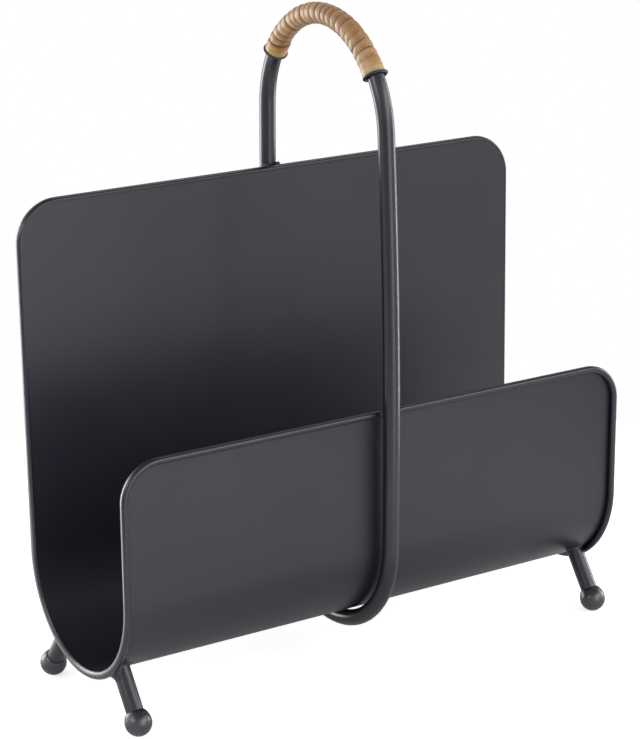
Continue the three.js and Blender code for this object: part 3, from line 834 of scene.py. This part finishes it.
def cane_ring(turn, arch_from, arch_to, section):
    """One section of the strip. Turn runs from -1 to one past the helix's last."""
    wind = wind_at(turn)
    on_helix = smooth_step(turn, 0.0, 1.0) * smooth_fall(turn, HELIX_TURNS - 1, HELIX_TURNS)
    wander = CANE_SLOW_WANDER * noise_at(turn, SLOW_WANDER_NOISE)
    wander += CANE_QUICK_WANDER * noise_at(turn, QUICK_WANDER_NOISE)
    angle = arch_from + (arch_to - arch_from) * length_share_at(turn)
    angle += on_helix * wander / HOOP["bend_radius"]
    place, normal, heading = arch_station(angle)
    outward = turned(normal, np.cross(heading, normal), wind)
    reach = HOOP["bend_radius"] + CANE_OUTER_RADIUS * math.cos(wind)
    pitch = (arch_to - arch_from) / HELIX_TURNS * reach
    uneven = 1 + CANE_UNEVEN_SHARE * noise_at(turn, WIDTH_NOISE)
    uneven += CANE_FINE_UNEVEN_SHARE * noise_at(turn, FINE_WIDTH_NOISE)
    full = pitch / 2 * CANE_FILL_SHARE * uneven
    half_width = CANE_END_HALF_WIDTH + (full - CANE_END_HALF_WIDTH) * on_helix
    tilt = CANE_TILT * on_helix * (CANE_TILT_MEAN_SHARE + noise_at(turn, TILT_NOISE))
    outside = cane_outside(turn, wind)
    points = []
    for across, on_top in section:
        radius = CANE_INNER_RADIUS
        if on_top:
            crown = CANE_CROWN * (1 - crease_depth(turn + across / 2, wind) * across ** 2)
            radius += CANE_SIDE_THICKNESS + outside + crown - tilt * across * half_width
        points.append(place + heading * across * half_width + outward * radius)
    return points


def make_cane():
    section = cane_section()
    shares_across = [across for across, _ in section]
    end_reach = RING_FINE_THICKNESS / 2 + CANE_END_HALF_WIDTH
    reach_angle = end_reach / HOOP["bend_radius"]
    arch_from = BACK_RING_ANGLE + reach_angle
    arch_to = math.pi - FRONT_RING_ANGLE - reach_angle
    last_step = (HELIX_TURNS + 1) * CANE_STEPS_PER_TURN
    turns = np.arange(-CANE_STEPS_PER_TURN, last_step + 1) / CANE_STEPS_PER_TURN
    rings = [cane_ring(turn, arch_from, arch_to, section) for turn in turns]
    at_end = np.clip(np.maximum(-turns, turns - HELIX_TURNS) * END_TINT_PER_TURN, 0, 1)
    # The crease depth is also how strongly the finish paints shade and highlight across the strip.
    creases = [crease_depth(turn + across / 2, wind_at(turn)) for turn in turns for across in shares_across]
    values = {
        "along": np.repeat(turns, len(section)),
        "across": np.tile(shares_across, len(turns)),
        "at_end": np.repeat(at_end, len(section)),
        "crease": creases,
    }
    return add_sweep("cane_strip", rings, False, cane_finish, ["cane_winding"], values)


# Feet. A rod's rim at the ball is chamfered, and a low ridge of weld stands on the ball round it, which
# leaves a thin dark crease between them. The left feet's collars are full and run over the rim wire
# beside them, and the right feet's are small.
ROD_SIDES = 48
ROD_CHAMFER = 0.5 * MM
ROD_CHAMFER_STEPS = 4
BALL_SEGMENTS = 64
BALL_RINGS = 36
NECK_RINGS = 20
NECK_ANGLE = math.asin(ROD_RADIUS / BALL_RADIUS)
RIDGE_INSIDE = math.radians(6)
RIDGE_OUTSIDE = math.radians(32)
RIDGE_HEIGHT = 0.5 * MM
COLLAR_SEGMENTS = 96
COLLAR_POINTS = 9
COLLAR_LEG = 1.7 * MM
COLLAR_ROOT = 0.4 * MM
COLLAR_UNEVEN_SHARE = 0.12
COLLAR_NOISE_SCALE = 2
SMALL_COLLAR_SHARE = 0.7
COLLAR_SPREAD_SHARE = 1.3
COLLAR_DROP_SHARE = 2.0
COLLAR_WIRE_SHARE = 1.7
BESIDE_WIRE_SHARES = (0.1, 0.95)
ON_WIRE_SHARES = (0.35, 0.85)
BACK_FOOT_SEED = 3


def foot_frame(side, towards_back):
    """A place on the trough's axis, the rod's direction down from it, and the distance to the ball."""
    splay = BACK_FOOT_SPLAY if towards_back else FRONT_FOOT_SPLAY
    x = side * (TROUGH_WIDTH / 2 - 2 * RIM_RADIUS - ROD_TO_RIM_SPACE - ROD_RADIUS)
    down = np.array([0.0, math.sin(splay) if towards_back else -math.sin(splay), -math.cos(splay)])
    distance = (TROUGH_AXIS_HEIGHT - (BALL_RADIUS - BALL_FLAT_DEPTH)) / math.cos(splay)
    return TROUGH_AXIS + ACROSS * x, down, distance


def make_rod(name, node, origin, down, distance):
    """A rod from inside the sheet to inside the ball, with its chamfer just above the ball."""
    neck = distance - BALL_RADIUS * math.cos(NECK_ANGLE) - ROD_CHAMFER / 2
    steps = [(TROUGH_RADIUS - EDGE_ROUND, ROD_RADIUS)]
    for i in range(ROD_CHAMFER_STEPS + 1):
        turn = math.pi / 2 * i / ROD_CHAMFER_STEPS
        reach = neck - ROD_CHAMFER * (1 - math.sin(turn))
        steps.append((reach, ROD_RADIUS - ROD_CHAMFER * (1 - math.cos(turn))))
    steps.append((neck + BALL_RADIUS / 4, ROD_RADIUS - ROD_CHAMFER))
    rings = []
    for reach, radius in steps:
        rings.append(round_ring((origin + down * reach, ACROSS, down), radius, ROD_SIDES))
    return add_sweep(name, rings, False, frame_paint, [node])


def ball_reach(polar):
    """The ball's radius at an angle from the rod's axis, with the ridge round the neck."""
    rise = smooth_step(polar, NECK_ANGLE - RIDGE_INSIDE, NECK_ANGLE)
    fall = smooth_fall(polar, NECK_ANGLE, NECK_ANGLE + RIDGE_OUTSIDE)
    return BALL_RADIUS + RIDGE_HEIGHT * rise * fall


def ball_polars():
    """Angles from the rod's axis, close together on the ridge."""
    neck_from = NECK_ANGLE - RIDGE_INSIDE
    neck_to = NECK_ANGLE + RIDGE_OUTSIDE
    outside = [math.pi * i / BALL_RINGS for i in range(1, BALL_RINGS)]
    outside = [polar for polar in outside if not neck_from < polar < neck_to]
    return sorted([*outside, *np.linspace(neck_from, neck_to, NECK_RINGS)])


def make_ball(name, node, centre, down):
    """A ball with a flat where it meets the floor."""
    rings = []
    for polar in ball_polars():
        reach = ball_reach(polar)
        middle = centre - down * reach * math.cos(polar)
        ring = round_ring((middle, ACROSS, down), reach * math.sin(polar), BALL_SEGMENTS)
        ring[:, 2] = np.maximum(ring[:, 2], 0.0)
        rings.append(ring)
    return add_sweep(name, rings, False, ball_paint, [node])


def trough_sag(sideways):
    """How far the trough's outer face falls back, a distance to the side of a rod's axis."""
    return TROUGH_RADIUS - math.sqrt(TROUGH_RADIUS ** 2 - sideways ** 2)


def collar_sizes(towards_wire, full):
    """A collar's reach along the trough, its reach down the rod, and its rise onto the rim wire."""
    if not full:
        small_leg = COLLAR_LEG * SMALL_COLLAR_SHARE
        return small_leg, small_leg, 0.0
    beside_wire = smooth_step(towards_wire, *BESIDE_WIRE_SHARES)
    on_wire = COLLAR_WIRE_SHARE * RIM_RADIUS * smooth_step(towards_wire, *ON_WIRE_SHARES)
    leg_out = COLLAR_LEG * (1 + COLLAR_SPREAD_SHARE * beside_wire)
    leg_down = COLLAR_LEG * (1 + COLLAR_DROP_SHARE * beside_wire)
    return leg_out, leg_down, on_wire


def collar_profile(leg_out, leg_down, on_wire):
    """The fillet's section, from the rod to the trough and back inside both: radius and height."""
    profile = []
    for j in range(COLLAR_POINTS):
        turn = math.pi / 2 * j / (COLLAR_POINTS - 1)
        height = on_wire + leg_down * (1 - math.sin(turn))
        profile.append((ROD_RADIUS + leg_out * (1 - math.cos(turn)), height))
    return profile + [(ROD_RADIUS + leg_out, -COLLAR_ROOT), (ROD_RADIUS - COLLAR_ROOT, -COLLAR_ROOT)]


def make_foot_weld(name, node, origin, down, outer_side, seed):
    """A smooth fillet from a rod to the trough."""
    sideways = np.cross(down, ACROSS)
    rings = []
    for i in range(COLLAR_SEGMENTS):
        angle = 2 * math.pi * i / COLLAR_SEGMENTS
        outward = turned(ACROSS, sideways, angle)
        leg_out, leg_down, on_wire = collar_sizes(outward[0] * outer_side, outer_side < 0)
        noise_x = COLLAR_NOISE_SCALE * math.cos(angle)
        noise_y = COLLAR_NOISE_SCALE * math.sin(angle)
        uneven = 1 + COLLAR_UNEVEN_SHARE * smooth_noise(noise_x, noise_y, seed)
        ring = []
        for radius, height in collar_profile(leg_out * uneven, leg_down * uneven, on_wire):
            offset = outward * radius
            reach = TROUGH_RADIUS - trough_sag(offset @ sideways) + height
            ring.append(origin + offset + down * reach)
        rings.append(ring)
    return add_sweep(name, rings, True, weld_paint, [node])


def make_foot(side, side_word, towards_back):
    where = f"{'back' if towards_back else 'front'}_{side_word}"
    origin, down, distance = foot_frame(side, towards_back)
    make_rod(f"foot_rod_{where}_round", f"foot_rod_{where}", origin, down, distance)
    make_ball(f"foot_ball_{where}_round", f"foot_ball_{where}", origin + down * distance, down)
    seed = side + BACK_FOOT_SEED * towards_back
    make_foot_weld(f"foot_weld_{where}_bead", f"foot_weld_{where}", origin, down, side, seed)


# Weld beads beside the hoop. Those on the rims lie in the corners between the hoop and the wire, and those
# under the trough are long.
BEAD_SEGMENTS = 40
BEAD_ROWS = 24
BEAD_UNEVEN_SHARE = 0.14
BEAD_NOISE_SCALE = 2.3
RIM_BEAD_RADIUS = 1.9 * MM
RIM_BEAD_HALF_LENGTH = 2.2 * MM
RIM_BEAD_PROUD = 0.8 * MM
RIM_BEAD_RISE = 0.9 * MM
BACK_BEAD_SIDE_SHARE = 0.84
FRONT_BEAD_SIDE_SHARE = 0.6
RIM_BEAD_SEED = 5.3
UNDER_BEAD_RADIUS = 2 * MM
UNDER_BEAD_HALF_LENGTH = 11 * MM
UNDER_BEAD_DEPTH = 1.2 * MM
UNDER_BEAD_SIDE_SHARE = 0.9
UNDER_BEAD_SEED = 3.1


def make_bead(where, centre, heading, radius, half_length, seed):
    """An oval lump of weld with a rippled skin."""
    side = np.cross(heading, ACROSS)
    rings = []
    for i in range(1, BEAD_ROWS):
        polar = math.pi * i / BEAD_ROWS
        ring = []
        for j in range(BEAD_SEGMENTS):
            outward = turned(ACROSS, side, 2 * math.pi * j / BEAD_SEGMENTS)
            direction = turned(heading, outward, polar)
            swell = 1 + BEAD_UNEVEN_SHARE * smooth_noise(*(direction * BEAD_NOISE_SCALE + seed))
            offset = outward * radius * math.sin(polar) + heading * half_length * math.cos(polar)
            ring.append(centre + offset * swell)
        rings.append(ring)
    return add_sweep(f"weld_{where}_bead", rings, False, weld_paint, [f"weld_{where}"])


def make_rim_welds(where, along, towards_edge, side_share):
    place, normal, heading = trough_at(along)
    middle = place + normal * (2 * RIM_RADIUS + RIM_BEAD_PROUD) + heading * towards_edge * RIM_BEAD_RISE
    for side, word in LEFT_AND_RIGHT:
        centre = middle + ACROSS * side * TUBE_RADIUS * side_share
        seed = side * RIM_BEAD_SEED + len(where)
        make_bead(f"{where}_{word}", centre, heading, RIM_BEAD_RADIUS, RIM_BEAD_HALF_LENGTH, seed)


def make_under_welds():
    place, normal, heading = lower_bend_station(HOOP["contact_angle"])
    middle = place - normal * (TUBE_RADIUS - UNDER_BEAD_DEPTH)
    for side, word in LEFT_AND_RIGHT:
        centre = middle + ACROSS * side * TUBE_RADIUS * UNDER_BEAD_SIDE_SHARE
        seed = side * UNDER_BEAD_SEED
        make_bead(f"under_{word}", centre, heading, UNDER_BEAD_RADIUS, UNDER_BEAD_HALF_LENGTH, seed)


make_sheet()
make_rim()
make_hoop()
make_end_ring("end_ring_back_round", "end_ring_back", BACK_RING_ANGLE)
make_end_ring("end_ring_front_round", "end_ring_front", math.pi - FRONT_RING_ANGLE)
make_cane()
for at_back in (False, True):
    for side, word in LEFT_AND_RIGHT:
        make_foot(side, word, at_back)
make_rim_welds("back", RIM_RADIUS, -1, BACK_BEAD_SIDE_SHARE)
make_rim_welds("front", SHEET_LENGTH - RIM_RADIUS, 1, FRONT_BEAD_SIDE_SHARE)
make_under_welds()


# Camera.
def make_camera():
    data = bpy.data.cameras.new("camera")
    data.sensor_width = SENSOR_WIDTH_MM
    data.lens = SENSOR_WIDTH_MM * FOCAL_PIXELS / PICTURE_HEIGHT_PIXELS
    data.clip_start = CAMERA_CLIP_START
    data.clip_end = CAMERA_CLIP_END
    camera = bpy.data.objects.new("camera", data)
    bpy.context.scene.collection.objects.link(camera)
    forward = Vector((
        math.sin(CAMERA_YAW) * math.cos(CAMERA_PITCH),
        math.cos(CAMERA_YAW) * math.cos(CAMERA_PITCH),
        -math.sin(CAMERA_PITCH),
    ))
    right = Vector((math.cos(CAMERA_YAW), -math.sin(CAMERA_YAW), 0.0))
    upward = right.cross(forward)
    rolled_right = right * math.cos(CAMERA_ROLL) + upward * math.sin(CAMERA_ROLL)
    rolled_up = upward * math.cos(CAMERA_ROLL) - right * math.sin(CAMERA_ROLL)
    turn = Matrix((rolled_right, rolled_up, -forward)).transposed().to_4x4()
    camera.matrix_world = Matrix.Translation(CAMERA_PLACE) @ turn
    bpy.context.scene.camera = camera


# Floor. The camera sees it white, and it keeps the shadow. In reflections it glows more the farther it is
# from the basket, with a pool of light beyond the back left foot. The slopes give a glow by distance.
FLOOR_RADIUS = 500 * MM
FLOOR_SIDES = 128
FLOOR_COLOUR = (0.8, 0.8, 0.8, 1.0)
FLOOR_GLOW_FOR_CAMERA = 0.66
OPEN_FLOOR_SLOPE = (0.0, 0.46, 70 * MM, 360 * MM)
POOL_CENTRE = (-300 * MM, 220 * MM, 0.0)
POOL_SLOPE = (2.1, 0.0, 90 * MM, 200 * MM)


def add_floor_glow(nodes, links):
    path = nodes.new("ShaderNodeLightPath")
    for_camera = add_range(nodes, links, path.outputs["Is Camera Ray"], 0.0, FLOOR_GLOW_FOR_CAMERA)
    place = nodes.new("ShaderNodeTexCoord").outputs["Object"]
    from_basket = add_vector_maths(nodes, links, "LENGTH", place)
    from_pool = add_vector_maths(nodes, links, "DISTANCE", place, POOL_CENTRE)
    open_floor = add_slope(nodes, links, from_basket, OPEN_FLOOR_SLOPE)
    pool = add_slope(nodes, links, from_pool, POOL_SLOPE)
    mirrored = add_maths(nodes, links, "ADD", open_floor, pool)
    return add_maths(nodes, links, "MULTIPLY_ADD", path.outputs["Is Glossy Ray"], mirrored, for_camera)


def make_floor_finish():
    material, nodes, links = new_material("studio_floor")
    nodes.remove(nodes["Principled BSDF"])
    matte = nodes.new("ShaderNodeBsdfDiffuse")
    matte.inputs["Color"].default_value = FLOOR_COLOUR
    glow = nodes.new("ShaderNodeEmission")
    links.new(add_floor_glow(nodes, links), glow.inputs["Strength"])
    total = nodes.new("ShaderNodeAddShader")
    links.new(matte.outputs["BSDF"], total.inputs[0])
    links.new(glow.outputs["Emission"], total.inputs[1])
    links.new(total.outputs["Shader"], nodes["Material Output"].inputs["Surface"])
    return material


def make_floor():
    mesh = bpy.data.meshes.new("studio_floor")
    angles = [2 * math.pi * i / FLOOR_SIDES for i in range(FLOOR_SIDES)]
    rim = [(FLOOR_RADIUS * math.cos(angle), FLOOR_RADIUS * math.sin(angle), 0.0) for angle in angles]
    mesh.from_pydata(rim, [], [tuple(range(FLOOR_SIDES))])
    mesh.materials.append(make_floor_finish())
    floor = bpy.data.objects.new("studio_floor", mesh)
    bpy.context.scene.collection.objects.link(floor)


# World. The camera sees it white. Other rays meet a studio that is pale round about, dark overhead but
# less so on the left, and dimmer low down and in three regions. A region is the direction to its middle
# and a slope by how nearly a direction points there, where 1 is straight at it.
OVERHEAD_SLOPE = (0.8, 0.04, 0.6, 0.82)
LEFT_SKY_SLOPE = (0.28, 0.0, 0.05, 0.35)
LOW_SLOPE = (0.8, 1.0, -0.32, -0.22)
CAMERA_SIDE_REGION = ((-0.78, -0.61, -0.14), (1.0, 0.55, 0.84, 0.97))
BACK_REGION = ((0.621, 0.605, 0.498), (1.0, 0.35, 0.80, 0.94))
FRONT_REGION = ((0.435, -0.842, -0.320), (1.0, 0.35, 0.970, 0.998))
WORLD_COLOUR = (1.0, 1.0, 1.0, 1.0)


def add_studio(nodes, links):
    """The brightness of the studio in each direction."""
    direction = nodes.new("ShaderNodeTexCoord").outputs["Generated"]
    split = nodes.new("ShaderNodeSeparateXYZ")
    links.new(direction, split.inputs["Vector"])
    overhead = add_slope(nodes, links, split.outputs["Z"], OVERHEAD_SLOPE)
    left_sky = add_slope(nodes, links, split.outputs["X"], LEFT_SKY_SLOPE)
    studio = add_maths(nodes, links, "MAXIMUM", overhead, left_sky)
    for middle, slope in (CAMERA_SIDE_REGION, BACK_REGION, FRONT_REGION):
        nearness = add_vector_maths(nodes, links, "DOT_PRODUCT", direction, middle)
        dimming = add_slope(nodes, links, nearness, slope)
        studio = add_maths(nodes, links, "MULTIPLY", studio, dimming)
    low = add_slope(nodes, links, split.outputs["Z"], LOW_SLOPE)
    return add_maths(nodes, links, "MULTIPLY", studio, low)


def make_world():
    world = bpy.data.worlds.new("studio")
    world.use_nodes = True
    bpy.context.scene.world = world
    nodes, links = world.node_tree.nodes, world.node_tree.links
    seen_by_camera = nodes.new("ShaderNodeLightPath").outputs["Is Camera Ray"]
    brightness = add_maths(nodes, links, "MAXIMUM", add_studio(nodes, links), seen_by_camera)
    background = nodes["Background"]
    background.inputs["Color"].default_value = WORLD_COLOUR
    links.new(brightness, background.inputs["Strength"])


# Softboxes: azimuth and elevation in degrees, distance and size in metres, and brightness.
SOFTBOXES = {
    "right_softbox": (-6, 2, 2.0, (0.45, 1.6), 9.0),
    "back_left_softbox": (120, 1, 2.0, (0.8, 1.35), 8.4),
    "front_softbox": (-85, 5, 2.2, (1.1, 2.0), 2.2),
    "left_softbox": (182, 26, 2.0, (1.0, 0.6), 4.6),
    "front_right_softbox": (-56, 27, 2.2, (1.5, 0.9), 3.4),
    "back_right_softbox": (45, 50, 2.2, (0.9, 0.9), 1.5),
}
LAMP_AIM_HEIGHT = 150 * MM


def add_softbox(name, azimuth, elevation, distance, size, brightness):
    """A rectangular lamp that faces the basket. At brightness 1 it is as bright as pure white."""
    data = bpy.data.lights.new(name, "AREA")
    data.shape = "RECTANGLE"
    width, height = size
    data.size = width
    data.size_y = height
    data.energy = brightness * width * height * math.pi
    lamp = bpy.data.objects.new(name, data)
    bpy.context.scene.collection.objects.link(lamp)
    level = math.cos(math.radians(elevation))
    outward = Vector((
        level * math.cos(math.radians(azimuth)),
        level * math.sin(math.radians(azimuth)),
        math.sin(math.radians(elevation)),
    ))
    lamp.location = Vector((0, 0, LAMP_AIM_HEIGHT)) + outward * distance
    lamp.rotation_euler = outward.to_track_quat("Z", "Y").to_euler()


make_camera()
make_floor()
make_world()
for name, settings in SOFTBOXES.items():
    add_softbox(name, *settings)
bpy.context.scene.view_settings.view_transform = "Standard"
